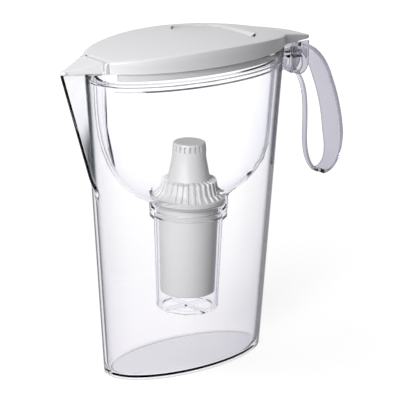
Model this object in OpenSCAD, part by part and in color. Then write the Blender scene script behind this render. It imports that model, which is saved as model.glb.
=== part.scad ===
// Water filter pitcher with a flip-open filling hatch, millimetres.
// Origin at the middle of the base on the standing plane, +Z up,
// spout towards -X and handle towards +X.

/* [Jug] */
// Height of the jug's rim above the standing plane
jug_h = 250; // [225:1:275]
// Length of the oval base
base_len = 149; // [140:1:160]
// Length of the oval at the rim
rim_len = 184; // [176:1:192]
// Width of the oval base
base_w = 74; // [70:0.5:78]
// Width of the oval at the rim
rim_w = 94; // [90:0.5:98]
// Wall thickness of the jug
jug_wall = 2.5; // [2:0.1:3]
// Thickness of the jug's floor
jug_floor = 3; // [2.5:0.1:4]
// Depth of the hollow under the base
base_hollow = 1; // [0.6:0.1:1.5]
// Width of the ring that the jug stands on
base_ring_w = 5; // [4:0.5:7]

/* [Spout] */
// How far the spout's tip stands out from the rim's oval
spout_reach = 26; // [20:1:30]
// Width of the spout's mouth where it meets the oval
spout_w = 35; // [32:1:38]
// How far the spout stands out where its straight part ends
spout_low_reach = 6; // [4:0.5:8]
// Height of the straight part's lower end
spout_low_z = 166; // [155:1:180]
// Height at which the spout has run out into the wall
spout_foot_z = 146; // [135:1:150]
// Radius of the spout's front edge
spout_edge_r = 3; // [2.6:0.1:3.4]

/* [Handle] */
// Width of the outer strap at the top
strap_w = 24; // [22:1:28]
// Width of the outer strap at the bottom of the ring
strap_low_w = 13; // [11:1:16]
// Thickness of the outer strap
strap_t = 3.6; // [3:0.1:4.5]
// Thickness of the inner strap
guard_t = 2.5; // [2.2:0.1:4]
// Width of the inner strap
guard_w = 5; // [4:0.5:9]
// Distance from the rim to the outermost point of the handle
handle_reach = 67; // [62:1:72]
// Height of the handle's ring from top to bottom
handle_drop = 119; // [110:1:126]
// Distance from the rim to the screw's axis
screw_reach = 18; // [17:0.5:20]
// Radius of the screw boss under the handle
boss_r = 7.7; // [7.2:0.1:8.5]
// Thickness of the jug's bracket that the handle screws to
bracket_t = 5; // [4:0.5:5.5]
// Width of the jug's bracket
bracket_w = 13; // [12:0.5:15]
// Depth of the bracket's underside below the rim
bracket_drop = 15.5; // [15:0.5:18]
// Radius of the screw's shank
screw_r = 1.9; // [1.6:0.1:2.2]
// Radius of the screw's head
screw_head_r = 3.7; // [3.4:0.1:4]

/* [Reservoir] */
// Gap between the reservoir's wall and the jug's wall
hopper_gap = 4; // [3.5:0.1:5]
// Wall thickness of the reservoir
hopper_wall = 2; // [1.6:0.1:2.4]
// Depth of the reservoir's top edge below the rim
hopper_drop = 9; // [8:0.5:11]
// Thickness of the reservoir's top flange
hopper_flange_t = 2.2; // [1.8:0.1:2.6]
// Width of the ledge inside the jug that the flange rests on
ledge_w = 2.2; // [2:0.1:2.6]
// Roundness of the bowl's side view, 2 being an ellipse
bowl_round = 2.6; // [2.3:0.1:3]
// Half width to which the bowl's bottom would round out
bowl_half_w = 52; // [48:1:56]
// Distance from the jug's middle to the cartridge's axis
axis_x = 3.5; // [0:0.5:6]
// Height of the face that the cartridge seats on
seat_z = 131.6; // [126:0.2:136]

/* [Cartridge and cup] */
// Radius of the cartridge's flange
flange_r = 29.1; // [28:0.1:30]
// Radius of the cartridge's body under its flange
body_r = 24.2; // [23.5:0.1:24.6]
// Radius of the cartridge's body at its foot
body_foot_r = 21.3; // [20.5:0.1:22]
// Height of the cartridge's body below the seat
body_h = 75; // [70:1:80]
// Height of the cartridge's head above the seat
head_h = 48.7; // [46:0.1:52]
// Radius of the neck's top
neck_r = 12.9; // [12:0.1:14]
// Wall thickness of the cartridge
cart_wall = 1.4; // [1.2:0.1:1.6]
// Fins around the cartridge's shoulder
fin_count = 30; // [24:1:36]
// Slots around the top of the neck
neck_slots = 20; // [16:1:24]
// Wall thickness of the cup around the cartridge
cup_wall = 1.8; // [1.5:0.1:2.2]
// Height of the cup's thick rim
cup_rim_h = 5.6; // [5:0.1:6.5]
// Room under the cartridge inside the cup
cup_room = 11; // [8:0.5:14]

/* [Lid] */
// Height of the lid's crown above the rim
crown_h = 16; // [14:0.5:18]
// Radius of the lid's domed crown
crown_r = 520; // [450:10:700]
// Wall thickness of the lid
lid_wall = 2.2; // [1.9:0.1:2.5]
// Depth of the lid's inner skirt below the rim
inner_skirt_h = 6; // [4.5:0.1:6.5]
// Length of the thumb tab past the rim
tab_reach = 26; // [22:1:28]
// Width of the thumb tab at its end
tab_w = 27; // [26:1:30]
// Distance from the lid's middle to the hatch's hinge
hinge_x = 54; // [50:1:56]
// Length of the filling hatch in front of its hinge
hatch_len = 56; // [50:1:60]
// Width of the filling hatch at its widest
hatch_w = 74; // [68:1:76]
// Thickness of the hatch's panel
hatch_t = 2; // [1.8:0.1:2.4]
// Depth of the closed hatch below the crown around it
hatch_sink = 1.5; // [1:0.1:1.8]
// Radius of the hatch's hinge barrel
barrel_r = 3; // [2.8:0.1:3.2]
// Length of the hatch's hinge barrel
barrel_w = 37; // [32:1:40]
// Radius of the hatch's hinge pin
pin_r = 1.5; // [1.3:0.1:1.6]
// Radius of the spout flap's hinge barrel
nose_barrel_r = 2.6; // [2.4:0.1:2.8]
// Radius of the spout flap's hinge pin
nose_pin_r = 1; // [0.9:0.1:1.2]
// Height of the spout flap's tip above the rim
nose_tip_h = 2.6; // [2.3:0.1:3]

/* [Hidden] */
$fn = 96;

half_base = base_len / 2;
half_rim = rim_len / 2;
gap = 0.3;
seat_gap = 0.2;
fit = 0.05;
over = 1;

// Half length and half width of the jug's outside at height z
function jug_a(z) = half_base + (half_rim - half_base) * z / jug_h;
function jug_b(z) = base_w / 2 + (rim_w - base_w) / 2 * z / jug_h;
// Where the jug's outside at height z is y away from the middle plane
function wall_x(z, y) = jug_a(z) * sqrt(1 - pow(y / jug_b(z), 2));

// A cubic curve, its direction and a point d to its left
function curve(p, t) = pow(1 - t, 3) * p[0] + 3 * t * pow(1 - t, 2) * p[1]
    + 3 * t * t * (1 - t) * p[2] + pow(t, 3) * p[3];
function heading(p, t) = pow(1 - t, 2) * (p[1] - p[0])
    + 2 * t * (1 - t) * (p[2] - p[1]) + t * t * (p[3] - p[2]);
function beside(p, t, d) = curve(p, t)
    + d * [-heading(p, t)[1], heading(p, t)[0]] / norm(heading(p, t));
steps = [0:1/14:1.0001];
// One side of a strap that follows curves, and the strap's outline, t thick
function strap_side(curves, d) = [for (i = [0:len(curves) - 1]) for (s = steps)
    if (i == 0 || s > 0) beside(curves[i], s, d)];
function backwards(list) = [for (i = [len(list) - 1:-1:0]) list[i]];
function strap(curves, t) = concat(strap_side(curves, t / 2), backwards(strap_side(curves, -t / 2)));

// Solid under the jug's outside, set d inside it, from z0 to z1
oval_points = 96;
module oval(z0, z1, d = 0) {
    a = jug_a(z0) - d;
    b = jug_b(z0) - d;
    translate([0, 0, z0])
        linear_extrude(height = z1 - z0, slices = 1, scale = [(jug_a(z1) - d) / a, (jug_b(z1) - d) / b])
            polygon([for (i = [0:oval_points - 1]) [
                a * cos(i * 360 / oval_points),
                b * sin(i * 360 / oval_points)
            ]]);
}

// A rod along Y, centred on the middle plane
module rod(x, z, r, length) {
    translate([x, 0, z])
        rotate([90, 0, 0])
            cylinder(h = length, r = r, center = true);
}

// A plate in the XZ plane, centred on the middle plane
module side_plate(width) {
    rotate([90, 0, 0])
        linear_extrude(height = width, center = true)
            children();
}

// The same shape on both sides of the middle plane
module both_sides() {
    children();
    mirror([0, 1, 0])
        children();
}

// ---- jug ----
mouth_x = -wall_x(jug_h, spout_w / 2);
spout_tip_x = -(half_rim + spout_reach - spout_edge_r);
spout_low_x = -(jug_a(spout_low_z) + spout_low_reach - spout_edge_r);
spout_foot_x = -(jug_a(spout_foot_z) - spout_edge_r - 0.4);
spout_root_in = 1.4;

hopper_top = jug_h - hopper_drop;
ledge_z = hopper_top - hopper_flange_t - seat_gap;
ledge_t = 2.5;

bracket_z = jug_h - bracket_drop;
screw_x = half_rim + screw_reach;
eye_clearance = 0.3;

// The spout's V at one height: its edge and its root
module spout_slice(edge_x, root_x, root_w, z, d) {
    translate([edge_x, 0, z])
        cylinder(h = 0.01, r = spout_edge_r - d, $fn = 32);
    translate([root_x, -root_w / 2, z])
        cube([0.01, root_w, 0.01]);
}

// The spout's form, set d inside its outside and open up to top
module spout_form(d, top) {
    inner_w = spout_w - 2.3 * d;
    root_in = spout_root_in + 1.5 * d;
    slope = (spout_tip_x - spout_low_x) / (jug_h - spout_low_z);
    hull() {
        spout_slice(spout_tip_x + slope * (top - jug_h), mouth_x + root_in, inner_w, top, d);
        spout_slice(spout_low_x, root_in - wall_x(spout_low_z, spout_w / 2), inner_w, spout_low_z, d);
        translate([spout_foot_x, 0, spout_foot_z + 2 * d])
            cylinder(h = 0.01, r = spout_edge_r - d, $fn = 32);
    }
}

module ledge() {
    difference() {
        oval(ledge_z - ledge_t, ledge_z, jug_wall - 0.3);
        oval(ledge_z - ledge_t - over, ledge_z + over, jug_wall + ledge_w);
        translate([-half_rim, -spout_w / 2, ledge_z - ledge_t - over])
            cube([half_rim / 2, spout_w, ledge_t + 2 * over]);
    }
}

module bracket() {
    root_x = half_rim - 8;
    translate([root_x, -bracket_w / 2, bracket_z])
        cube([screw_x - root_x, bracket_w, bracket_t]);
    translate([screw_x, 0, bracket_z])
        cylinder(h = bracket_t, r = bracket_w / 2);
    side_plate(4)
        polygon([
            [root_x, bracket_z + 1],
            [screw_x - boss_r - 1.5, bracket_z + 1],
            [screw_x - boss_r - 1.5, bracket_z - 1],
            [root_x, bracket_z - 16]
        ]);
}

module jug_body() {
    color([0.86, 0.88, 0.94, 0.35])
        difference() {
            union() {
                difference() {
                    union() {
                        oval(0, jug_h);
                        spout_form(0, jug_h);
                        bracket();
                    }
                    oval(jug_floor, jug_h + over, jug_wall);
                    spout_form(jug_wall, jug_h + over);
                }
                ledge();
            }
            oval(-over, base_hollow, base_ring_w);
            translate([screw_x, 0, bracket_z - over])
                cylinder(h = bracket_t + 2 * over, r = screw_r + eye_clearance);
        }
}

// ---- handle ----
strap_top = jug_h - 0.5;
strap_mid = strap_top - strap_t / 2;
ring_x = half_rim + handle_reach - strap_t / 2;
ring_z = strap_top - handle_drop + strap_t / 2;
guard_x = ring_x - 32;
ring_low_x = ring_x - 14.5;
boss_z = strap_top - 21.8;
cheek_t = 2.6;
cheek_r = boss_r + 1.3;
cheek_y = bracket_w / 2 + gap;
cheek_z = boss_z + 2;
jug_clear = 0.4;
shoulder = [ring_x - 14.2, strap_mid - 35.2];
// How far the strap's middle is pulled down, and where both straps turn in at the foot
strap_pull = 55;
ring_turn = 20;
guard_turn = 34;
outer_curves = [
    [[half_rim - 12, strap_mid], [half_rim + 24, strap_mid + 0.6],
        [ring_x - 24.4, strap_mid - 9], shoulder],
    [shoulder, [ring_x - 5, strap_mid - strap_pull],
        [ring_x, ring_z + ring_turn + 18], [ring_x, ring_z + ring_turn]],
    [[ring_x, ring_z + ring_turn], [ring_x, ring_z + 8],
        [ring_x - 6, ring_z], [ring_low_x, ring_z]]
];
guard_curves = [
    [[ring_low_x, ring_z], [ring_low_x - 9, ring_z],
        [guard_x, ring_z + 14], [guard_x, ring_z + guard_turn]],
    [[guard_x, ring_z + guard_turn], [guard_x, ring_z + guard_turn + 24],
        [guard_x + 0.6, boss_z - 16], [screw_x + 1, boss_z - 4]]
];

// Shape of the outer strap seen from behind, from full width to its foot
module strap_taper() {
    bend_z = strap_top - 0.72 * handle_drop;
    low_z = strap_top - handle_drop - over;
    translate([half_rim - 20, 0, 0])
        rotate([90, 0, 90])
            linear_extrude(height = handle_reach + 30)
                polygon([
                    [-strap_w / 2, strap_top + over], [strap_w / 2, strap_top + over],
                    [strap_w / 2, bend_z], [strap_low_w / 2, low_z],
                    [-strap_low_w / 2, low_z], [-strap_w / 2, bend_z]
                ]);
}

// Cheek beside the jug's bracket, a plate with a round foot
module cheek() {
    translate([0, -cheek_y - cheek_t / 2, 0])
        side_plate(cheek_t)
            polygon(concat(
                [[screw_x + cheek_r, strap_mid], [screw_x - cheek_r, strap_mid]],
                [for (a = [180:12:360]) [screw_x + cheek_r * cos(a), cheek_z + cheek_r * sin(a)]]));
}

// Boss under the bracket that takes the screw, with a round foot
module boss() {
    translate([screw_x, 0, boss_z])
        rotate_extrude()
            polygon(concat(
                [[0, bracket_z - boss_z]],
                [[boss_r, bracket_z - boss_z]],
                [for (a = [0:10:80]) [boss_r * cos(a), -boss_r * sin(a)]],
                [[0, -boss_r]]));
}

module handle() {
    color([0.80, 0.80, 0.86, 0.6])
        difference() {
            union() {
                intersection() {
                    side_plate(strap_w + 2)
                        polygon(strap(outer_curves, strap_t));
                    strap_taper();
                }
                side_plate(guard_w)
                    polygon(strap(guard_curves, guard_t));
                both_sides()
                    cheek();
                boss();
            }
            oval(bracket_z - 30, jug_h + over, -jug_clear);
            // Way down to the screw through the strap
            translate([screw_x, 0, washer_z])
                cylinder(h = strap_top + 2 * over - washer_z, r = screw_head_r + 0.9);
            translate([screw_x, 0, screw_foot_z])
                cylinder(h = bracket_z - screw_foot_z + over, r = screw_r + fit);
        }
}

// ---- handle screw ----
washer_t = 0.6;
washer_z = bracket_z + bracket_t;
screw_head_z = washer_z + washer_t;
screw_head_h = 2.4;
screw_foot_z = boss_z - 4.5;

module handle_screw() {
    color("silver")
        difference() {
            union() {
                translate([screw_x, 0, screw_foot_z + 0.5])
                    cylinder(h = screw_head_z - screw_foot_z, r = screw_r);
                translate([screw_x, 0, screw_head_z])
                    cylinder(h = screw_head_h, r1 = screw_head_r, r2 = screw_head_r - 0.9);
            }
            for (a = [0, 90])
                translate([screw_x, 0, screw_head_z + screw_head_h])
                    rotate([0, 0, a])
                        cube([2 * screw_r, 0.9, 2.4], center = true);
        }
}

module screw_washer() {
    color("gainsboro")
        translate([screw_x, 0, washer_z])
            difference() {
                cylinder(h = washer_t, r = screw_head_r + 1.2);
                translate([0, 0, -over])
                    cylinder(h = washer_t + 2 * over, r = screw_r + fit);
            }
}

// ---- reservoir ----
bowl_a = jug_a(hopper_top) - jug_wall - hopper_gap;
bowl_foot_z = seat_z - 0.1;
flange_clear = 0.4;
outlet_r = flange_r + flange_clear + 1.7;
outlet_t = 5.1;
outlet_z = seat_z - outlet_t;
bore_r = body_r + 1;
spigot_r = bore_r + 2;
spigot_h = cup_rim_h - 0.3;
bowl_steps = 26;

// The bowl's form: an oval cup with a blunt round bottom, d inside its outside
module bowl(d) {
    depth = hopper_top - bowl_foot_z - d;
    a = bowl_a - d;
    p = 2 / bowl_round;
    translate([axis_x, 0, hopper_top])
        scale([1, (bowl_half_w - d) / a, 1])
            rotate_extrude()
                polygon(concat([[0, over], [a, over]],
                    [for (i = [0:bowl_steps]) [
                        a * pow(cos(90 * i / bowl_steps), p),
                        -depth * pow(sin(90 * i / bowl_steps), p)
                    ]]));
}

module hopper_form(d, top) {
    intersection() {
        oval(outlet_z, top, jug_wall + hopper_gap + d);
        bowl(d);
    }
}

module reservoir() {
    color([0.88, 0.90, 0.96, 0.35])
        difference() {
            union() {
                hopper_form(0, hopper_top);
                oval(hopper_top - hopper_flange_t, hopper_top, jug_wall + 0.5);
                translate([axis_x, 0, outlet_z])
                    cylinder(h = outlet_t + 14, r = outlet_r);
                translate([axis_x, 0, outlet_z - spigot_h])
                    cylinder(h = spigot_h + over, r = spigot_r);
            }
            hopper_form(hopper_wall, hopper_top + over);
            translate([axis_x, 0, seat_z])
                cylinder(h = 30, r = flange_r + flange_clear);
            translate([axis_x, 0, outlet_z - spigot_h - over])
                cylinder(h = spigot_h + outlet_t + 2 * over, r = bore_r);
        }
}

// ---- cup under the reservoir ----
cup_top = outlet_z - seat_gap;
cup_shelf_z = cup_top - cup_rim_h;
cup_gap = 1.5;
cup_in_r = body_r + cup_gap;
cup_in_foot_r = body_foot_r + cup_gap;
cup_floor_t = 2.6;
body_foot_z = seat_z - body_h;
cup_foot_z = body_foot_z - cup_room - cup_floor_t;
cross_w = 4;

module filter_cup() {
    color([0.86, 0.88, 0.94, 0.4])
        translate([axis_x, 0, 0]) {
            difference() {
                union() {
                    translate([0, 0, cup_foot_z])
                        cylinder(h = cup_shelf_z - cup_foot_z, r1 = cup_in_foot_r + cup_wall,
                            r2 = cup_in_r + cup_wall);
                    translate([0, 0, cup_shelf_z - 1.6])
                        cylinder(h = cup_rim_h + 1.6, r = outlet_r - 0.4);
                }
                translate([0, 0, cup_foot_z + cup_floor_t])
                    cylinder(h = cup_shelf_z - cup_foot_z - cup_floor_t + 0.01,
                        r1 = cup_in_foot_r, r2 = cup_in_r);
                translate([0, 0, cup_shelf_z])
                    cylinder(h = cup_rim_h + over, r = spigot_r + 0.25);
                translate([0, 0, cup_foot_z - over])
                    cylinder(h = cup_floor_t + 2 * over, r = cup_in_foot_r - 3.5);
            }
            for (a = [0, 90])
                rotate([0, 0, a])
                    translate([-cup_in_foot_r - 0.2, -cross_w / 2, cup_foot_z])
                        cube([2 * cup_in_foot_r + 0.4, cross_w, cup_floor_t]);
        }
}

// ---- cartridge ----
seal_t = 1;
seal_gap = 0.1;
flange_z = seat_z + seal_t + 2 * seal_gap;
weld_z = flange_z + 1.6;
head_foot_z = weld_z + 1.8;
head_top_z = seat_z + head_h;
floor_slots = 12;
shell_floor_t = 1.6;

module cartridge_shell() {
    color([0.93, 0.93, 0.94])
        translate([axis_x, 0, 0])
            difference() {
                union() {
                    translate([0, 0, body_foot_z])
                        cylinder(h = weld_z - body_foot_z, r1 = body_foot_r, r2 = body_r);
                    translate([0, 0, flange_z])
                        cylinder(h = weld_z - flange_z, r = flange_r);
                }
                translate([0, 0, body_foot_z + shell_floor_t])
                    cylinder(h = weld_z - body_foot_z, r1 = body_foot_r - cart_wall,
                        r2 = body_r - cart_wall);
                for (i = [0:floor_slots - 1])
                    rotate([0, 0, i * 360 / floor_slots])
                        translate([6, -0.8, body_foot_z - over])
                            cube([body_foot_r - 10, 1.6, shell_floor_t + 2 * over]);
            }
}

// Half section of the head's outside, from its flange to the top of its neck
function head_outline() = [
    [flange_r, weld_z],
    [flange_r, head_foot_z],
    [body_r + 0.6, head_foot_z + 0.4],
    [body_r - 2.9, head_foot_z + 5.5],
    [body_r - 4.2, head_foot_z + 12.4],
    [neck_r + 3.9, head_foot_z + 14.2],
    [neck_r + 0.5, head_top_z - 7],
    [neck_r, head_top_z - 1.6],
    [neck_r - 1.4, head_top_z]
];

// One fin of the shoulder, fanning out from the neck's foot to the flange
module shoulder_fin() {
    side_plate(1.1)
        polygon([
            [neck_r + 2, head_foot_z + 14.6], [body_r - 2.6, head_foot_z + 13.2],
            [body_r - 1.4, head_foot_z + 6], [flange_r - 0.8, head_foot_z],
            [neck_r + 2, head_foot_z]
        ]);
}

module neck_slot() {
    translate([neck_r - 4, -0.7, head_top_z - 6.4])
        cube([6, 1.4, 4.6]);
}

module cartridge_head() {
    color([0.95, 0.95, 0.96])
        translate([axis_x, 0, 0])
            difference() {
                union() {
                    rotate_extrude()
                        polygon(concat([[0, weld_z]], head_outline(), [[0, head_top_z]]));
                    for (i = [0:fin_count - 1])
                        rotate([0, 0, i * 360 / fin_count])
                            shoulder_fin();
                }
                rotate_extrude()
                    polygon([
                        [0, weld_z - over], [body_r - cart_wall, weld_z - over],
                        [body_r - cart_wall, head_foot_z],
                        [body_r - 5, head_foot_z + 5.5], [body_r - 5.8, head_foot_z + 11],
                        [neck_r + 2.4, head_foot_z + 12.6],
                        [neck_r - 0.9, head_top_z - 7],
                        [neck_r - 1.4, head_top_z - 1.6],
                        [0, head_top_z - 1.6]
                    ]);
                for (i = [0:neck_slots - 1])
                    rotate([0, 0, i * 360 / neck_slots])
                        neck_slot();
            }
}

module cartridge_seal() {
    color("whitesmoke")
        translate([axis_x, 0, seat_z + seal_gap])
            difference() {
                cylinder(h = seal_t, r = flange_r - 0.5);
                translate([0, 0, -over])
                    cylinder(h = seal_t + 2 * over, r = body_r + gap);
            }
}

screen_t = 1;
function shell_in_r(z) = body_foot_r - cart_wall
    + (body_r - body_foot_r) * (z - body_foot_z - shell_floor_t) / (weld_z - body_foot_z);
lower_screen_z = body_foot_z + shell_floor_t;
media_z = lower_screen_z + screen_t;
media_top_z = flange_z - 2;
upper_screen_z = head_top_z - 10;

module upper_screen() {
    color("white")
        translate([axis_x, 0, upper_screen_z])
            cylinder(h = screen_t, r = neck_r - 0.8);
}

module lower_screen() {
    color("white")
        translate([axis_x, 0, lower_screen_z])
            cylinder(h = screen_t, r = shell_in_r(lower_screen_z) - fit);
}

module filter_media() {
    color([0.35, 0.33, 0.30])
        translate([axis_x, 0, media_z])
            cylinder(h = media_top_z - media_z, r1 = shell_in_r(media_z) - fit,
                r2 = shell_in_r(media_top_z) - fit);
}

// ---- lid ----
lid_z = jug_h + seat_gap;
crown_top = jug_h + crown_h;
crown_edge = half_rim + 16;
crown_steps = 12;
// Height of the crown's outside above a point of the plan
function crown_z(x, y = 0) = crown_top - crown_r + sqrt(crown_r * crown_r - x * x - y * y);

// Everything under the crown, set d inside it
module under_crown(d) {
    rotate_extrude()
        polygon(concat([[0, lid_z - 12], [crown_edge, lid_z - 12]],
            [for (i = [crown_steps:-1:0]) let (x = crown_edge * i / crown_steps) [
                x,
                crown_top - crown_r + sqrt(pow(crown_r - d, 2) - x * x)
            ]]));
}

module lid_form(d, foot) {
    intersection() {
        oval(foot, crown_top + over, d);
        under_crown(d);
    }
}

// ---- hatch in the lid ----
hatch_gap = 0.7;
hatch_mid_x = hinge_x - hatch_len + 10;
hatch_half_len = (hinge_x - hatch_mid_x) / sqrt(1 - pow(barrel_w / hatch_w, 2));
hatch_front_r = 48;
hinge_z = crown_z(hinge_x) + 0.5 - barrel_r;
pocket_r = barrel_r + 0.4;
ear_w = 3.4;
frame_w = 1.6;
shelf_w = 2.4;
shelf_t = 1.6;
hatch_foot = hatch_sink + hatch_t;
shelf_top = hatch_foot + seat_gap;

// Upright prism of the hatch's outline, grown by d, up to x1
module hatch_prism(d, x1 = hinge_x) {
    h = crown_h + 4;
    intersection() {
        translate([hatch_mid_x, 0, lid_z])
            linear_extrude(height = h)
                polygon([for (a = [0:5:355]) [
                    (hatch_half_len + d) * cos(a),
                    (hatch_w / 2 + d) * sin(a)
                ]]);
        translate([hinge_x - hatch_len + hatch_front_r, 0, lid_z - over])
            cylinder(h = h + 2 * over, r = hatch_front_r + d);
        translate([x1 - 2 * hatch_len, -hatch_w, lid_z - over])
            cube([2 * hatch_len, 2 * hatch_w, h + 2 * over]);
    }
}

// Wall around the sunk hatch and the shelf that the hatch lies on
module hatch_frame() {
    difference() {
        intersection() {
            hatch_prism(hatch_gap + frame_w, hinge_x + pocket_r);
            under_crown(0.5);
        }
        under_crown(shelf_top + shelf_t);
    }
}

// ---- thumb tab of the lid ----
tab_root_x = half_rim - 14;
tab_end_x = half_rim + tab_reach;
tab_foot_z = jug_h + 0.5;
tab_t = 2.4;
tab_root_w = 42;
tab_end_h = 1.2;
// Height of the cutters that pass through the whole lid
cut_h = 40;

// Side view of the tab, d inside its outside
function tab_side(d) = concat(
    [for (s = steps) curve([
        [tab_root_x, crown_z(tab_root_x) - 0.2 - d],
        [half_rim, crown_z(tab_root_x) - 2.6 - d],
        [tab_end_x - 10, tab_foot_z + 4.2 - d],
        [tab_end_x - d, tab_foot_z + tab_end_h - d]], s)],
    [[tab_end_x - d - 0.6, tab_foot_z - 3 * d], [tab_root_x, tab_foot_z - 3 * d]]);

// Plan of the tab, d inside its outside
module tab_plan(d) {
    nose = 12;
    polygon(concat(
        [[tab_root_x, tab_root_w / 2 - d]],
        [for (a = [90:-9:-90]) [
            tab_end_x - nose + (nose - d) * cos(a),
            (tab_w / 2 - d) * sin(a)
        ]],
        [[tab_root_x, -tab_root_w / 2 + d]]));
}

module tab_form(d) {
    intersection() {
        side_plate(tab_root_w + over)
            polygon(tab_side(d));
        translate([0, 0, jug_h - 10])
            linear_extrude(height = cut_h)
                tab_plan(d);
    }
}

// ---- hinge of the spout flap ----
nose_x = mouth_x - 1;
nose_z = crown_z(nose_x, spout_w / 2) - nose_barrel_r;
nose_barrel_w = spout_w - 6.4;
nose_ear_w = 2.7;
nose_ear_len = 7;
nose_pocket_r = nose_barrel_r + gap;
nose_clear = 0.35;

module nose_ears() {
    both_sides()
        translate([0, -nose_barrel_w / 2 - nose_clear - nose_ear_w / 2, 0])
            side_plate(nose_ear_w) {
                translate([nose_x, nose_z])
                    circle(r = nose_barrel_r);
                translate([nose_x - nose_barrel_r, lid_z])
                    square([nose_barrel_r + nose_ear_len, nose_z - lid_z]);
                translate([nose_x, lid_z])
                    square([nose_ear_len, nose_z + nose_barrel_r - lid_z]);
            }
}

module lid_front_cut() {
    cut_w = nose_barrel_w + 2 * nose_clear;
    translate([-2 * half_rim, -half_rim, lid_z - 10])
        cube([2 * half_rim + nose_x, 2 * half_rim, cut_h]);
    translate([nose_x - over, -cut_w / 2, lid_z - 10])
        cube([nose_pocket_r + over, cut_w, cut_h]);
}

module lid_shell() {
    color([0.90, 0.90, 0.90])
        difference() {
            union() {
                difference() {
                    union() {
                        lid_form(0, lid_z);
                        difference() {
                            tab_form(0);
                            tab_form(tab_t);
                        }
                    }
                    lid_form(lid_wall, lid_z - over);
                    lid_front_cut();
                }
                // Front bulkhead behind the spout flap
                intersection() {
                    lid_form(0.4, lid_z);
                    translate([nose_x + nose_pocket_r, -half_rim, lid_z])
                        cube([lid_wall, 2 * half_rim, cut_h]);
                }
                nose_ears();
                hatch_frame();
                // Trough around the hatch's hinge
                intersection() {
                    under_crown(0.5);
                    rod(hinge_x, hinge_z, pocket_r + 1.6, barrel_w + 2 * ear_w);
                }
            }
            // Recess for the hatch, the opening below it and its hinge
            difference() {
                hatch_prism(hatch_gap);
                under_crown(shelf_top);
            }
            hatch_prism(-shelf_w, hinge_x - pocket_r - 1.6);
            rod(hinge_x, hinge_z, pocket_r, barrel_w + 2 * gap);
            translate([hinge_x - over, -barrel_w / 2 - gap, hinge_z])
                cube([pocket_r + over, barrel_w + 2 * gap, 20]);
            rod(hinge_x, hinge_z, pin_r, barrel_w + 2 * ear_w - 1);
            rod(nose_x, nose_z, nose_pin_r, nose_barrel_w + 2 * nose_clear + 2 * nose_ear_w - 1);
        }
}

// ---- ring inside the jug's rim, under the lid ----
ring_clear = 0.4;
ring_t = 2;
ring_lip_h = 1.8;

module lid_skirt_ring() {
    foot_z = jug_h - inner_skirt_h;
    outer_d = jug_wall + ring_clear;
    color([0.80, 0.80, 0.81])
        difference() {
            union() {
                oval(foot_z, lid_z + ring_lip_h, outer_d);
                oval(lid_z, lid_z + ring_lip_h, lid_wall + fit);
            }
            oval(foot_z - over, lid_z + ring_lip_h + over, outer_d + ring_t);
            // Room in front for the ears of the spout flap
            translate([-2 * half_rim, -half_rim, foot_z - over])
                cube([2 * half_rim + nose_x + nose_ear_len + gap, 2 * half_rim, cut_h]);
        }
}

module fill_hatch() {
    color([0.91, 0.91, 0.91])
        difference() {
            union() {
                difference() {
                    intersection() {
                        hatch_prism(0, hinge_x - pocket_r);
                        under_crown(hatch_sink);
                    }
                    under_crown(hatch_foot);
                }
                // Web between the panel and the barrel
                intersection() {
                    translate([hinge_x - pocket_r - over, -barrel_w / 2, lid_z])
                        cube([pocket_r + over, barrel_w, crown_h]);
                    difference() {
                        under_crown(hatch_sink + 0.1);
                        under_crown(hatch_foot - 0.1);
                    }
                }
                rod(hinge_x, hinge_z, barrel_r, barrel_w);
            }
            rod(hinge_x, hinge_z, pin_r + fit, barrel_w + 2 * over);
        }
}

module hatch_pin() {
    color("silver")
        rod(hinge_x, hinge_z, pin_r, barrel_w + 2 * ear_w - 1.4);
}

// ---- flap over the spout ----
flap_wall = 1.8;
flap_foot_z = jug_h + gap;

// The flap's form, d inside its outside
module flap_form(d) {
    root_x = nose_x - nose_barrel_r - nose_clear;
    root_w = 2 * (nose_x - nose_barrel_r - spout_tip_x) / (mouth_x - spout_tip_x)
        * (spout_w / 2 - spout_edge_r);
    hull() {
        translate([root_x - 0.01 + 2 * d, -root_w / 2 - 1.9 + d, flap_foot_z - 2 * d])
            cube([0.01, root_w + 3.8 - 2 * d, nose_z + nose_barrel_r - flap_foot_z + d]);
        translate([spout_tip_x, 0, flap_foot_z - 2 * d])
            cylinder(h = nose_tip_h + d, r = spout_edge_r - d, $fn = 32);
    }
}

module spout_flap() {
    web_x = nose_x - nose_barrel_r - 1.5;
    color([0.91, 0.91, 0.91])
        difference() {
            union() {
                difference() {
                    flap_form(0);
                    flap_form(flap_wall);
                }
                rod(nose_x, nose_z, nose_barrel_r, nose_barrel_w);
                // Web between the flap's roof and its barrel
                translate([web_x, -nose_barrel_w / 2, nose_z + nose_barrel_r - flap_wall])
                    cube([nose_x - web_x, nose_barrel_w, flap_wall]);
            }
            rod(nose_x, nose_z, nose_pin_r + fit, nose_barrel_w + 2 * over);
        }
}

module spout_flap_pin() {
    color("silver")
        rod(nose_x, nose_z, nose_pin_r, nose_barrel_w + 2 * nose_clear + 2 * nose_ear_w - 1.4);
}

jug_body();
handle();
handle_screw();
screw_washer();
reservoir();
filter_cup();
cartridge_shell();
cartridge_head();
cartridge_seal();
upper_screen();
lower_screen();
filter_media();
lid_shell();
lid_skirt_ring();
fill_hatch();
hatch_pin();
spout_flap();
spout_flap_pin();
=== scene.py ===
# Water filter pitcher with a flip-open filling hatch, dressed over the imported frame.
# Lengths in the settings are millimetres; meshes are made in metres.
from math import acos, asin, atan2, cos, pi, radians, sin, sqrt, tan

import bmesh
import bpy
from mathutils import Matrix, Vector


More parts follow.
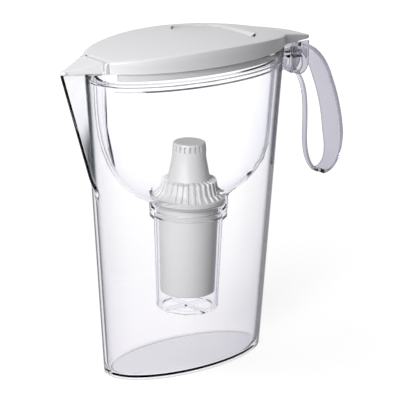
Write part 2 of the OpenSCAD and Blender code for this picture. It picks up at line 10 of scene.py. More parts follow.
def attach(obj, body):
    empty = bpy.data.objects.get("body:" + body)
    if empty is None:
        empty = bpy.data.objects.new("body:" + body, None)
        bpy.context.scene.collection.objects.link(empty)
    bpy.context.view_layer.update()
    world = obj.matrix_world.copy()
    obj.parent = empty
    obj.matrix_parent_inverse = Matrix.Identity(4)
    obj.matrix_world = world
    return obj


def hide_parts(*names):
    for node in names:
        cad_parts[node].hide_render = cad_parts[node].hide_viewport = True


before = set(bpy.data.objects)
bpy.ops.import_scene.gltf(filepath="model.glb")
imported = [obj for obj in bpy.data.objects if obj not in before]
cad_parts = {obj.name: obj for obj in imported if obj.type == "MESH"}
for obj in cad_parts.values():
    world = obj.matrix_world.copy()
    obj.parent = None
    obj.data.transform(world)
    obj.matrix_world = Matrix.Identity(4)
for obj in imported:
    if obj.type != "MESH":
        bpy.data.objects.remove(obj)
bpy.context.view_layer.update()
mm = 0.001

# Sizes that several pieces share, the same as the part's own
jug = {
    "height": 250, "baseLength": 149, "baseWidth": 74, "rimLength": 184, "rimWidth": 94, "wall": 2.5,
    "floor": 3, "baseHollow": 1, "ledgeTop": 238.6, "ledgeHeight": 2.5, "spoutReach": 26, "spoutWidth": 35,
    "spoutLowReach": 6, "spoutLowZ": 166, "spoutFootZ": 146, "spoutEdge": 3,
}
lid = {
    "foot": 250.2, "planZ": 258.2, "edgeZ": 259,
    "crownShares": (0.05, 0.15, 0.28, 0.42, 0.56, 0.7, 0.82, 0.92), "crownTop": 266, "crownRadius": 520,
    "wall": 2.2, "hingeX": 54, "hatchLength": 56, "hatchWidth": 74, "hatchThickness": 2, "hatchSink": 1.5,
    "hatchGap": 0.7, "frontRadius": 48, "barrelRadius": 3, "barrelLength": 37, "rampLength": 4.9,
    "pocketGap": 0.4, "troughWall": 1.6, "frameWall": 1.6, "shelfWidth": 2.4, "shelfThickness": 1.6,
}
cartridge = {"axisX": 3.5, "seatZ": 131.6}


def jugHalf(z):
    # half length and half width
    t = z / jug["height"]
    return (
        jug["baseLength"] / 2 + (jug["rimLength"] - jug["baseLength"]) / 2 * t,
        jug["baseWidth"] / 2 + (jug["rimWidth"] - jug["baseWidth"]) / 2 * t,
    )


def wallX(z, y, inset=0.0):
    # how far out the oval is at height z, y away from the middle
    a, b = jugHalf(z)
    return (a - inset) * sqrt(max(0.0, 1 - (y / (b - inset)) ** 2))


def blendValue(low, high, t):
    return low + (high - low) * t


def spoutForm(z, inset):
    # root and edge of the spout's V at height z: root x, root half width, edge centre x
    edge = jug["spoutEdge"]
    half = jug["spoutWidth"] / 2
    lowX = jugHalf(jug["spoutLowZ"])[0] + jug["spoutLowReach"] - edge
    tipX = jug["rimLength"] / 2 + jug["spoutReach"] - edge
    if z >= jug["spoutLowZ"]:
        t = (z - jug["spoutLowZ"]) / (jug["height"] - jug["spoutLowZ"])
        return wallX(z, half), half, blendValue(lowX, tipX, t)
    foot = jug["spoutFootZ"] + 2 * inset
    t = max(0.0, (z - foot) / (jug["spoutLowZ"] - foot))
    footX = jugHalf(jug["spoutFootZ"])[0] - edge - 0.4
    return (
        blendValue(footX, wallX(jug["spoutLowZ"], half), t),
        blendValue(edge, half, t),
        blendValue(footX, lowX, t),
    )


def spoutX(z, y, inset):
    # how far out the V reaches at y, or 0 beside it
    rootX, half, edgeX = spoutForm(z, inset)
    radius = jug["spoutEdge"]
    if z < jug["spoutFootZ"] + 2 * inset:
        return 0
    reach = edgeX - rootX
    slope = acos(min(1, radius / sqrt(reach * reach + half * half))) - atan2(reach, half)
    radius -= min(inset, radius - 0.3)
    y = abs(y)
    if y < radius * cos(slope):
        return edgeX + sqrt(radius * radius - y * y)
    if slope < 0.001:
        return 0
    return edgeX + radius * sin(slope) - (y - radius * cos(slope)) / tan(slope)


# where points lie across the spout, as shares of its half width, and how much an inset narrows it
spoutShares = [0, 0.02, 0.05, 0.09, 0.13, 0.17, 0.22, 0.3, 0.4, 0.5, 0.6, 0.7, 0.8, 0.9, 0.96]
spoutNarrowing = 0.45


def jugOutline(z, inset=0.0, frontInset=None, backCount=112):
    # plan of the jug at height z, round its back from the spout's +Y side and then over the spout
    front = inset if frontInset is None else frontInset
    a, b = jugHalf(z)
    half = jug["spoutWidth"] / 2 - spoutNarrowing * front
    start = asin(min(1, half / (b - inset)))
    points = []
    for i in range(backCount + 1):
        t = start + (2 * pi - 2 * start) * i / backCount
        points.append((-(a - inset) * cos(t), (b - inset) * sin(t), z))
    for share in [-s for s in reversed(spoutShares[1:])] + spoutShares:
        y = half * share
        points.append((-max(wallX(z, y, front), spoutX(z, y, front)), y, z))
    return points


def turns(count):
    return [2 * pi * i / count for i in range(count)]


def arc(x, z, r, angles):
    return [(x + r * cos(radians(a)), z + r * sin(radians(a))) for a in angles]


def ovalRay(angle, x, a, b):
    # distance to an oval's edge from a point on its long axis, x off its middle
    p = (cos(angle) / a) ** 2 + (sin(angle) / b) ** 2
    q = 2 * x * cos(angle) / (a * a)
    return (-q + sqrt(q * q - 4 * p * (x * x / (a * a) - 1))) / (2 * p)


def ovalOutline(z, inset=0.0, count=120):
    a, b = jugHalf(z)
    return [((a - inset) * cos(t), (b - inset) * sin(t), z) for t in turns(count)]


def loft(rings, start="centre", end="centre"):
    # vertices and faces through closed rings of equal counts; each end is closed by a centre point or a
    # face, both ends are joined to each other, or an end stays open
    count = len(rings[0])
    points = [p for ring in rings for p in ring]
    bases = [k * count for k in range(len(rings))]
    bands = list(zip(bases, bases[1:]))
    if start == "joined":
        bands.append((bases[-1], 0))
    turn = [(i, (i + 1) % count) for i in range(count)]
    faces = [(low + i, low + j, high + j, high + i) for low, high in bands for i, j in turn]
    for ring, way, base in ((rings[0], start, 0), (rings[-1], end, bases[-1])):
        if way == "centre":
            points.append(tuple(sum(p[k] for p in ring) / count for k in range(3)))
            faces += [(base + i, base + j, len(points) - 1) for i, j in turn]
        elif way == "face":
            faces.append(tuple(range(base, base + count)))
    return points, faces


def revolve(profile, x=0.0, count=96, shape=None):
    # rings around an upright axis at x; shape(index, radius, z) may change a radius
    rings = []
    for r, z in profile:
        radii = [shape(i, r, z) if shape else r for i in range(count)]
        rings.append([(x + q * cos(t), q * sin(t), z) for q, t in zip(radii, turns(count))])
    return rings


def added(name, data):
    thing = bpy.data.objects.new(name, data)
    bpy.context.scene.collection.objects.link(thing)
    return thing


def write(build, mesh, sharp):
    # smooth faces, with edges sharper than an angle kept
    for face in build.faces:
        face.smooth = True
    for edge in build.edges:
        edge.smooth = len(edge.link_faces) == 2 and edge.calc_face_angle(0) < radians(sharp)
    build.to_mesh(mesh)
    build.free()


def solid(name, *parts, sharp=32.0):
    # one object from parts that are each a list of points and a list of faces
    mesh = bpy.data.meshes.new(name)
    build = bmesh.new()
    for points, faces in parts:
        corners = [build.verts.new(Vector(p) * mm) for p in points]
        for face in faces:
            try:
                build.faces.new([corners[i] for i in face])
            except ValueError:
                pass
    bmesh.ops.remove_doubles(build, verts=build.verts, dist=1e-7)
    bmesh.ops.recalc_face_normals(build, faces=build.faces)
    write(build, mesh, sharp)
    return added(name, mesh)


def combine(thing, others, operation, sharp):
    # joins parts to an object, cuts them from it or keeps what they share; a part may be an object itself
    others = [other if isinstance(other, bpy.types.Object) else solid("part", other) for other in others]
    for other in others:
        step = thing.modifiers.new("cut", "BOOLEAN")
        step.operation = operation
        step.solver = "EXACT"
        step.object = other
    graph = bpy.context.evaluated_depsgraph_get()
    mesh = bpy.data.meshes.new_from_object(thing.evaluated_get(graph))
    thing.modifiers.clear()
    build = bmesh.new()
    build.from_mesh(mesh)
    write(build, mesh, sharp)
    thing.data = mesh
    for other in others:
        bpy.data.objects.remove(other)


def insetOutline(outline, d):
    # outline moved inwards by d, counter-clockwise points assumed
    count = len(outline)
    moved = []
    for i in range(count):
        before, here, after = (Vector(outline[k % count][:2]) for k in (i - 1, i, i + 1))
        side = after - before
        normal = Vector((-side.y, side.x)).normalized() if side.length > 0 else Vector((0, 0))
        moved.append((here.x + normal.x * d, here.y + normal.y * d))
    return moved


def slab(outline, bottom, top, edge=0.0, shares=(0.3, 0.6, 0.85)):
    # rings of a slab over an outline between two heights, which may be functions of x and y
    low = bottom if callable(bottom) else (lambda x, y: bottom)
    high = top if callable(top) else (lambda x, y: top)
    middle = Vector((sum(p[0] for p in outline) / len(outline), sum(p[1] for p in outline) / len(outline)))

    def level(points, height, shift=0.0):
        return [(x, y, height(x, y) + shift) for x, y in points]

    def drawn(share):
        return [tuple(middle + (Vector(p[:2]) - middle) * share) for p in outline]

    flat = [tuple(p[:2]) for p in outline]
    steps = [(0, 0)]
    if edge > 0:
        steps = [(edge, 0), (0.3 * edge, 0.3 * edge), (0, edge)]
    rings = [level(drawn(s), low) for s in shares]
    rings += [level(insetOutline(flat, d) if d else flat, low, shift) for d, shift in steps]
    rings += [level(insetOutline(flat, d) if d else flat, high, -shift) for d, shift in reversed(steps)]
    rings += [level(drawn(s), high) for s in reversed(shares)]
    return loft(rings)


def block(x0, x1, y0, y1, z0, z1):
    # a cutter or a hidden core, never a piece of its own
    return slab([(x1, y0), (x1, y1), (x0, y1), (x0, y0)], z0, z1, shares=(0.5,))


def rod(x, z, r, length, rounding=0.3, count=48):
    # rings of a rod along Y, centred on the middle plane, with rounded ends
    h = length / 2
    profile = [(r - rounding, -h), (r - 0.3 * rounding, -h + 0.3 * rounding), (r, -h + rounding)]
    profile += [(q, -y) for q, y in reversed(profile)]
    return loft([[(x + q * cos(t), y, z + q * sin(t)) for t in turns(count)] for q, y in profile])


def curvePoint(points, t):
    # a point on a cubic curve given by its four control points
    weights = ((1 - t) ** 3, 3 * t * (1 - t) ** 2, 3 * t * t * (1 - t), t ** 3)
    return sum((Vector(p) * w for p, w in zip(points, weights)), Vector((0, 0)))


def strapRings(curves, widthAt, thickness, rounding, stepsEach=18):
    # rounded rectangular sections along curves in the XZ plane
    shares = [(i + 1) / stepsEach for i in range(stepsEach)]
    path = [curvePoint(curves[0], 0)] + [curvePoint(curve, share) for curve in curves for share in shares]
    rings = []
    for i, here in enumerate(path):
        way = (path[min(i + 1, len(path) - 1)] - path[max(i - 1, 0)]).normalized()
        across = Vector((-way.y, way.x))
        w = widthAt(here) / 2
        t = thickness / 2
        r = min(rounding, t * 0.98, w * 0.98)
        ring = []
        corners = ((w - r, t - r, 0), (-w + r, t - r, 90), (-w + r, -t + r, 180), (w - r, -t + r, 270))
        for cornerY, cornerT, first in corners:
            for y, off in arc(cornerY, cornerT, r, range(first, first + 91, 18)):
                point = here + across * off
                ring.append((point.x, y, point.y))
        rings.append(ring)
    return rings


def plate(outline, y0, y1, edge=0.3):
    # a slab standing in the XZ plane between two values of y
    points, faces = slab(outline, y0, y1, edge)
    return [(x, y, z) for x, z, y in points], faces


# Jug, one closed shell with its spout, ledge and bracket; the sections are pairs of inset and height
jugSections = {
    "foot": ((5.4, 1), (5.0, 0.8), (4.8, 0.1), (4.5, 0), (1.8, 0), (0.7, 0.3), (0.15, 1), (0, 2)),
    "lip": ((0.2, 249.4), (0.7, 249.9), (1.25, 250), (1.8, 249.9), (2.3, 249.4), (2.5, 248.6)),
    "floorEdge": ((2.6, 7), (3.2, 4.6), (4.6, 3.4), (6.6, 3)),
    "levels": [10, 30, 60, 90, 120, 140, *range(146, 169, 2), 172, 180, 195, 210, 225, 234],
    "lipLevels": [242, 248.6],
    "underLip": 244, "centreInsets": (26, 12), "centreFront": 6, "floorInsets": (14, 26), "ledgeInset": 4.7,
    "ledgeRounding": 0.3,
}


def makeJug():
    cut = jugSections
    levels = cut["levels"]
    wall = jug["wall"]
    ledgeTop = jug["ledgeTop"]
    ledgeFoot = ledgeTop - jug["ledgeHeight"]
    ledgeIn = cut["ledgeInset"]
    small = cut["ledgeRounding"]
    ledge = ((wall + small, ledgeTop), (ledgeIn - 0.2, ledgeTop), (ledgeIn, ledgeTop - small))
    ledge += ((ledgeIn, ledgeFoot), (wall, ledgeFoot - 1))
    rings = [jugOutline(jug["baseHollow"], d, cut["centreFront"]) for d in cut["centreInsets"]]
    rings += [jugOutline(z, d) for d, z in cut["foot"]]
    rings += [jugOutline(z) for z in levels + cut["lipLevels"]]
    rings += [jugOutline(z, d) for d, z in cut["lip"]]
    rings += [jugOutline(z, wall) for z in (cut["underLip"], ledgeTop + 0.5)]
    rings += [jugOutline(z, d, wall) for d, z in ledge]
    rings += [jugOutline(z, wall) for z in reversed(levels[:-1])]
    rings += [jugOutline(z, d) for d, z in cut["floorEdge"]]
    rings += [jugOutline(jug["floor"], d, cut["centreFront"]) for d in cut["floorInsets"]]
    body = solid("jugBody", loft(rings), sharp=24)

    bracketTop = handle["bracketTop"]
    bracketFoot = bracketTop - handle["bracketThickness"]
    screwX = handle["screwX"]
    half = handle["bracketWidth"] / 2
    rootX = handle["bracketRootX"]
    tongue = [(rootX, -half), (screwX, -half)] + arc(screwX, 0, half, range(-80, 81, 10))
    tongue += [(screwX, half), (rootX, half)]
    bracket = slab(tongue, bracketFoot, bracketTop, 0.6)
    ribTop = bracketFoot + handle["bracketRibLap"]
    ribEnd = screwX - handle["bracketRibGap"]
    ribOutline = [(rootX - 0.8, handle["bracketRibFoot"]), (ribEnd, bracketFoot - 0.7)]
    ribOutline += [(ribEnd, ribTop), (rootX - 0.8, ribTop)]
    eyeProfile = [(handle["eyeRadius"], bracketFoot - 4.5), (handle["eyeRadius"], bracketTop + 5.5)]
    combine(body, [bracket, plate(ribOutline, -2, 2, 0.3)], "UNION", 24)
    combine(body, [loft(revolve(eyeProfile, screwX, 32))], "DIFFERENCE", 24)
    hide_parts("jug_body")
    return place(body, "jug", "jug_plastic")


# Handle and the jug's bracket that it is screwed to
handle = {
    "screwX": 110, "bracketTop": 239.5, "bracketThickness": 5, "bracketWidth": 13, "bracketRootX": 89.4,
    "bracketRibFoot": 219, "bracketRibGap": 9.4, "bracketRibLap": 1.5, "eyeRadius": 2.2, "strapRootX": 91.9,
    "strapTop": 249.5, "strapThickness": 3.6, "strapWidth": 24, "strapLowWidth": 13, "strapRounding": 1.1,
    "guardThickness": 2.5, "guardWidth": 5, "guardRounding": 1.0, "ringX": 157.2, "ringZ": 132.3,
    "ringTurn": 20, "guardTurn": 34, "shoulderBack": 14.2, "shoulderDrop": 35.2, "lowBack": 14.5,
    "guardBack": 32, "bendDrop": 85.7, "footDrop": 120, "bossZ": 227.7, "bossRadius": 7.7, "cheekRadius": 9,
    "cheekThickness": 2.6, "cheekY": 6.8, "accessRadius": 4.6,
}


def handleCurves(top):
    # the outer strap's and the guard's middle lines, as cubic curves in the XZ plane
    ringX, ringZ = handle["ringX"], handle["ringZ"]
    shoulder = (ringX - handle["shoulderBack"], top - handle["shoulderDrop"])
    lowX = ringX - handle["lowBack"]
    guardX = ringX - handle["guardBack"]
    turnZ = ringZ + handle["ringTurn"]
    guardZ = ringZ + handle["guardTurn"]
    screwX, bossZ = handle["screwX"], handle["bossZ"]
    outer = [
        [(handle["strapRootX"], top), (screwX + 6, top + 0.6), (ringX - 24.4, top - 9), shoulder],
        [shoulder, (ringX - 5, top - 55), (ringX, turnZ + 18), (ringX, turnZ)],
        [(ringX, turnZ), (ringX, ringZ + 8), (ringX - 6, ringZ), (lowX, ringZ)],
    ]
    guard = [
        [(lowX, ringZ), (lowX - 9, ringZ), (guardX, ringZ + 14), (guardX, guardZ)],
        [(guardX, guardZ), (guardX, guardZ + 24), (guardX + 0.6, bossZ - 16), (screwX + 1, bossZ - 4)],
    ]
    return outer, guard


def makeHandle():
    thickness = handle["strapThickness"]
    top = handle["strapTop"] - thickness / 2
    screwX, bossZ = handle["screwX"], handle["bossZ"]
    outer, guard = handleCurves(top)
    bendZ = handle["strapTop"] - handle["bendDrop"]
    footZ = handle["strapTop"] - handle["footDrop"]

    def outerWidth(here):
        t = min(1, max(0, (here.y - footZ) / (bendZ - footZ)))
        return blendValue(handle["strapLowWidth"], handle["strapWidth"], t)

    outerRings = strapRings(outer, outerWidth, thickness, handle["strapRounding"])
    guardThickness, guardRounding = handle["guardThickness"], handle["guardRounding"]
    guardRings = strapRings(guard, lambda here: handle["guardWidth"], guardThickness, guardRounding)
    grip = solid("handleGrip", loft(outerRings, "face", "face"))
    guardLoop = loft(guardRings, "face", "face")
    radius = handle["cheekRadius"]
    cheekOutline = [(screwX - radius, top)] + arc(screwX, bossZ + 2, radius, range(180, 361, 10))
    cheekOutline += [(screwX + radius, top)]
    near = handle["cheekY"]
    far = near + handle["cheekThickness"]
    cheeks = [plate(cheekOutline, y0, y1, 0.5) for y0, y1 in ((near, far), (-far, -near))]
    r = handle["bossRadius"]
    bossTop = handle["bracketTop"] - handle["bracketThickness"]
    bossProfile = [(r * sin(radians(a)), bossZ - r * cos(radians(a))) for a in range(8, 91, 9)]
    bossProfile += [(r, bossTop - 0.4), (r - 0.4, bossTop), (r - 3, bossTop)]
    combine(grip, [guardLoop] + cheeks + [loft(revolve(bossProfile, screwX, 48))], "UNION", 30)
    way = handle["accessRadius"]
    wayProfile = [(way, handle["bracketTop"]), (way, handle["strapTop"] + 6.5)]
    combine(grip, [loft(revolve(wayProfile, screwX, 40))], "DIFFERENCE", 30)
    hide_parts("handle")
    return place(grip, "jug", "handle_plastic")


# Reservoir: an oval bowl trimmed to the jug's taper, with its seat and outlet
reservoir = {
    "top": 241, "wall": 2, "gap": 6.5, "halfWidth": 52, "roundness": 2.6, "foot": 131.5,
    "outletRadius": 31.2, "boreRadius": 25.2, "spigotWall": 2,
    "flangeSections": ((3.4, 0), (3.0, 0.3), (3.0, 1.9), (3.3, 2.2)),
    "shares": [0.06, 0.14, 0.24, 0.34, 0.44, 0.54, 0.64, 0.72, 0.79, 0.85, 0.9, 0.94, 0.97, 0.99],
    "ribTop": 237, "ribLength": 66, "ribDepth": 2.6, "ribSteps": 12, "ribHalfWidth": 0.6,
}


def ovalReach(angle, z, inset):
    # distance from the cartridge's axis to the oval
    a, b = jugHalf(z)
    return ovalRay(angle, cartridge["axisX"], a - inset, b - inset)


def bowlReach(angle, z, inset, least):
    n = reservoir["roundness"]
    s = max(0.0, (reservoir["top"] - z) / (reservoir["top"] - reservoir["foot"] - inset))
    if s >= 1:
        return least
    share = (1 - s**n) ** (1 / n)
    a = (jugHalf(reservoir["top"])[0] - reservoir["gap"] - inset) * share
    b = (reservoir["halfWidth"] - inset) * share
    bowl = 1 / sqrt((cos(angle) / a) ** 2 + (sin(angle) / b) ** 2)
    return max(min(bowl, ovalReach(angle, z, reservoir["gap"] + inset)), least)


def aroundAxis(z, reach, count=144):
    return [(cartridge["axisX"] + reach(t) * cos(t), reach(t) * sin(t), z) for t in turns(count)]


def makeReservoir():
    top = reservoir["top"]
    wall = reservoir["wall"]
    seat = cartridge["seatZ"]
    outlet = reservoir["outletRadius"]
    seatRadius = outlet - 1.7
    bore = reservoir["boreRadius"]
    spigot = bore + reservoir["spigotWall"]
    shares = reservoir["shares"]
    depth = top - reservoir["foot"]
    rings = [aroundAxis(top - low, lambda t: ovalReach(t, top - low, d)) for d, low in reservoir["flangeSections"]]
    for z in [top - 2.2] + [top - depth * share for share in shares]:
        rings.append(aroundAxis(z, lambda t: bowlReach(t, z, 0, outlet)))
    outletProfile = [
        (outlet, 130), (outlet, 127), (outlet - 0.5, 126.5), (spigot, 126.5), (spigot, 121.6), (spigot - 0.4, 121.2),
        (bore + 0.4, 121.2), (bore, 121.6), (bore, seat - 0.3), (bore + 0.3, seat), (seatRadius, seat),
    ]
    rings += [aroundAxis(z, lambda t: r) for r, z in outletProfile]
    for z in [top - (depth - wall) * share for share in reversed(shares)] + [top - 0.4]:
        rings.append(aroundAxis(z, lambda t: bowlReach(t, z, wall, seatRadius)))
    rings.append(aroundAxis(top, lambda t: bowlReach(t, top, wall - 0.4, seatRadius)))

    # the thin upright rib inside the front; it stands out less and less downwards
    steps = reservoir["ribSteps"]
    levels = [reservoir["ribTop"] - reservoir["ribLength"] * k / steps for k in range(steps + 1)]
    ribSide = [(cartridge["axisX"] - bowlReach(pi, z, wall - 0.4, outlet), z) for z in levels]
    back = [(x + reservoir["ribDepth"] * (1 - k / (steps + 2)), z) for k, (x, z) in enumerate(ribSide)]
    rib = plate(ribSide + back[::-1], -reservoir["ribHalfWidth"], reservoir["ribHalfWidth"], 0.1)
    shell = solid("reservoirShell", loft(rings, "joined", "none"), rib, sharp=26)
    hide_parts("reservoir")
    return place(shell, "reservoir", "reservoir_plastic")


# The cup round the cartridge; its profile is pairs of radius and height
cup = {
    "profile": (
        (30.4, 126.3), (30.8, 125.9), (30.8, 120.1), (30.3, 119.4), (27.9, 119.1), (27.4, 118.2), (24.75, 44.4),
        (24.2, 43.2), (23.6, 43), (19.5, 43), (19.3, 43.3), (19.3, 45.3), (19.6, 45.6), (22, 45.6), (22.8, 46.4),
        (25.7, 120.4), (26, 120.7), (27.4, 120.7), (27.45, 121), (27.45, 126), (27.8, 126.3)),
    "crossReach": 20, "crossHalfWidth": 2, "crossFoot": 43, "crossTop": 45.6,
}


def makeCup():
    x = cartridge["axisX"]
    shell = solid("filterCupShell", loft(revolve(cup["profile"], x, 112), "joined", "none"), sharp=26)
    reach, half = cup["crossReach"], cup["crossHalfWidth"]
    bars = []
    for a, b in ((reach, half), (half, reach)):
        outline = [(x + a, -b), (x + a, b), (x - a, b), (x - a, -b)]
        bars.append(slab(outline, cup["crossFoot"], cup["crossTop"], 0.3, (0.5,)))
    combine(shell, bars, "UNION", 26)
    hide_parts("filter_cup")
    return place(shell, "reservoir", "cup_plastic")


# Cartridge; its profiles are pairs of radius and height
cartridgeProfiles = {
    "body": (
        (10, 56.6), (20.4, 56.6), (21.2, 57.2), (21.35, 58.2), (23.9, 128), (24.1, 132.4), (24.2, 132.8),
        (28.8, 132.8), (29.1, 133.1), (29.1, 134.3), (24, 134.35)),
    "head": (
        (20, 134.4), (29, 134.4), (29.1, 134.6), (29.1, 135.9), (28.8, 136.2), (27, 136.6), (24.5, 138.6),
        (22.2, 141.7), (21.2, 145), (20.5, 148.6), (18.6, 149.4), (16.8, 150.4), (16.3, 152.5), (14.2, 164),
        (13.4, 168.5), (13.4, 173.84), (13.4, 173.9), (13.15, 176), (12.9, 178.5), (12.9, 178.56),
        (12.85, 178.9), (12.5, 179.7), (11.5, 180.3), (6, 180.3)),
}
fins = {"samples": 8, "width": 3, "outline": ((136.2, 28.3), (142.2, 22.8), (149.4, 21.6), (150.6, 14.9))}
slots = {"samples": 12, "width": 4, "low": 173.9, "high": 178.5, "depth": 2.4}


def between(table, z):
    for (z0, v0), (z1, v1) in zip(table, table[1:]):
        if z0 <= z <= z1:
            return blendValue(v0, v1, (z - z0) / (z1 - z0))
    return 0


def headShape(i, r, z):
    # slots round the neck and fins round the shoulder
    if slots["low"] - 0.02 < z < slots["high"] + 0.02 and i % slots["samples"] < slots["width"]:
        return r - slots["depth"]
    if i % fins["samples"] < fins["width"]:
        return max(r, between(fins["outline"], z))
    return r


def makeCartridge():
    x = cartridge["axisX"]
    body = solid("cartridgeBody", loft(revolve(cartridgeProfiles["body"], x, 96)), sharp=26)
    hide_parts("cartridge_shell")
    place(body, "cartridge", "cartridge_plastic")
    head = solid("cartridgeHead", loft(revolve(cartridgeProfiles["head"], x, 240, headShape)), sharp=30)
    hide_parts("cartridge_head")
    return place(head, "cartridge", "cartridge_plastic")


# Lid with its sunk hatch
def crownZ(x, y, inset=0.0):
    r = lid["crownRadius"] - inset
    return lid["crownTop"] - lid["crownRadius"] + sqrt(r * r - x * x - y * y)


def crownAt(inset):
    return lambda x, y: crownZ(x, y, inset)


def outlineAt(z, inset):
    return [point[:2] for point in ovalOutline(z, inset)]


def lidRings(inset, foot, edge):
    # the crown from its middle to its rounded edge, then down the rim
    rings = []
    for share in lid["crownShares"]:
        plan = [(x * share, y * share) for x, y in outlineAt(lid["planZ"], inset + edge)]
        rings.append([(x, y, crownZ(x, y, inset)) for x, y in plan])
    for d, drop in ((edge, 0.0), (0.3 * edge, 0.25 * edge), (0.0, edge)):
        rings.append([(x, y, crownZ(x, y, inset) - drop) for x, y in outlineAt(lid["edgeZ"], inset + d)])
    a0, b0 = jugHalf(lid["edgeZ"])
    for share in (0.6, 0.25):
        ring = []
        for x, y in outlineAt(lid["planZ"], inset):
            high = blendValue(foot, crownZ(x, y, inset) - edge, share)
            a, b = jugHalf(high)
            ring.append((x * (a - inset) / (a0 - inset), y * (b - inset) / (b0 - inset), high))
        rings.append(ring)
    rings.append(ovalOutline(foot, inset))
    return rings


def hatchOutline(grow, endX, count=180):
    # the hatch's plan, grown all round and cut off at endX
    hinge = lid["hingeX"]
    middleX = hinge - lid["hatchLength"] + 10
    halfWidth = lid["hatchWidth"] / 2
    halfLength = (hinge - middleX) / sqrt(1 - (lid["barrelLength"] / lid["hatchWidth"]) ** 2)
    frontX = hinge - lid["hatchLength"] + lid["frontRadius"]
    x0 = hinge - 25
    r = lid["frontRadius"] + grow
    outline = []
    for t in turns(count):
        back = ovalRay(t, x0 - middleX, halfLength + grow, halfWidth + grow)
        reach = min(back, ovalRay(t, x0 - frontX, r, r))
        if cos(t) > 0.01:
            reach = min(reach, (endX - x0) / cos(t))
        outline.append((x0 + reach * cos(t), reach * sin(t)))
    return outline


tab = {
    "rootX": 78, "endX": 122, "rootHalf": 21, "endHalf": 13.5, "nose": 12, "foot": 250.5, "endHeight": 0.9, "wall": 2.4,
    "rounding": 1.1, "shares": (0, 0.12, 0.24, 0.36, 0.48, 0.58, 0.66, 0.74, 0.8, 0.86, 0.91, 0.95, 0.98, 0.996),
}


def tabRings(inset, foot):
    # sections across the thumb tab, an inset inside its outside
    rootX, endX = tab["rootX"], tab["endX"]
    rootZ = crownZ(rootX, 0) - 0.2
    side = [(rootX, rootZ), (rootX + 14, rootZ - 2.4)]
    side += [(endX - 10, tab["foot"] + 4.2), (endX, tab["foot"] + tab["endHeight"])]
    rings = []
    noseX = endX - tab["nose"]
    for share in tab["shares"]:
        here = curvePoint(side, share)
        x = here.x if share else rootX
        top = here.y - inset
        if x <= noseX:
            half = blendValue(tab["rootHalf"], tab["endHalf"], (x - rootX) / (noseX - rootX)) - inset
        else:
            reach = min(1, (x - noseX) / (tab["nose"] - inset))
            if reach >= 1:
                break
            half = (tab["endHalf"] - inset) * sqrt(1 - reach * reach)
        low = min(foot, top - 0.3)
        r = min(tab["rounding"], 0.45 * (top - low), 0.45 * half)
        edge = [(half, low), (half, top - r), (half - 0.3 * r, top - 0.3 * r), (half - r, top)]
        flat = [(x, half * k / 3 * (1 - r / half), top) for k in (-2, -1, 0, 1, 2)]
        rings.append([(x, -y, z) for y, z in edge] + flat + [(x, y, z) for y, z in reversed(edge)])
    return rings


# the spout flap's hinge in the lid's nose
nose = {
    "x": -86.385, "z": 255.876, "barrelRadius": 2.6, "barrelLength": 28.6, "ear": 2.7, "earLength": 7, "clear": 0.35,
    "pocket": 2.9,
}
# a box that reaches past the lid on every side, for what is cut from it
past = {"front": -140, "half": 60, "low": 240, "high": 290}


def lidSlice(x0, x1):
    return block(x0, x1, -past["half"], past["half"], past["low"], past["high"])


def hingeHeight():
    # the hatch's barrel stands half a millimetre out of the crown
    return crownZ(lid["hingeX"], 0) + 0.5 - lid["barrelRadius"]


def makeLid():
    foot, low, high = lid["foot"], past["low"], past["high"]
    shell = solid("lidShell", loft(lidRings(0, foot, 0.9) + lidRings(lid["wall"], foot, 0.5)[::-1]), sharp=24)
    noseX, noseZ, earRadius = nose["x"], nose["z"], nose["barrelRadius"]
    pocketX = noseX + nose["pocket"]
    earY = nose["barrelLength"] / 2 + nose["clear"]
    mouth = block(noseX - 1, pocketX, -earY, earY, low, high)
    combine(shell, [lidSlice(past["front"], noseX), mouth], "DIFFERENCE", 24)

    bulkhead = solid("bulkhead", slab(outlineAt(256, 0.5), foot, crownAt(0.5)))
    combine(bulkhead, [lidSlice(pocketX, pocketX + lid["wall"])], "INTERSECT", 24)
    earEnd, earTop = noseX + nose["earLength"], noseZ + earRadius
    earOutline = [(earEnd, foot), (earEnd, earTop), (noseX, earTop)]
    earOutline += arc(noseX, noseZ, earRadius, range(100, 181, 10)) + [(noseX - earRadius, foot)]
    ears = [plate(earOutline, y, y + nose["ear"], 0.3) for y in (earY, -earY - nose["ear"])]

    hinge = lid["hingeX"]
    hingeZ = hingeHeight()
    pocket = lid["barrelRadius"] + lid["pocketGap"]
    gap = lid["hatchGap"]
    shelf = lid["hatchSink"] + lid["hatchThickness"] + 0.2
    frameOutline = hatchOutline(gap + lid["frameWall"], hinge + pocket)
    rim = slab(frameOutline, crownAt(shelf + lid["shelfThickness"]), crownAt(0.5))
    trough = solid("trough", rod(hinge, hingeZ, pocket + lid["troughWall"], lid["barrelLength"] + 6.8))
    under = [(100, -60), (100, 60), (0, 60), (0, -60)]
    combine(trough, [slab(under, low, crownAt(0.5))], "INTERSECT", 24)

    thumb = solid("thumb", loft(tabRings(0, tab["foot"]), "face", "face"))
    combine(thumb, [loft(tabRings(tab["wall"], tab["foot"] - 8), "face", "face")], "DIFFERENCE", 24)
    combine(thumb, [slab(outlineAt(256, lid["wall"] - 0.3), low, 275)], "DIFFERENCE", 24)

    combine(shell, [bulkhead] + ears + [rim, trough, thumb], "UNION", 24)
    half = lid["barrelLength"] / 2 + 0.3
    hole = hatchOutline(-lid["shelfWidth"], hinge - pocket - lid["troughWall"])
    combine(shell, [
        slab(hatchOutline(gap, hinge), crownAt(shelf), high),
        slab(hole, low, high),
        rod(hinge, hingeZ, pocket, 2 * half, 0.01),
        block(hinge - 1, hinge + pocket, -half, half, hingeZ, high),
    ], "DIFFERENCE", 24)
    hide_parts("lid_shell")
    return place(shell, "lid", "lid_plastic")


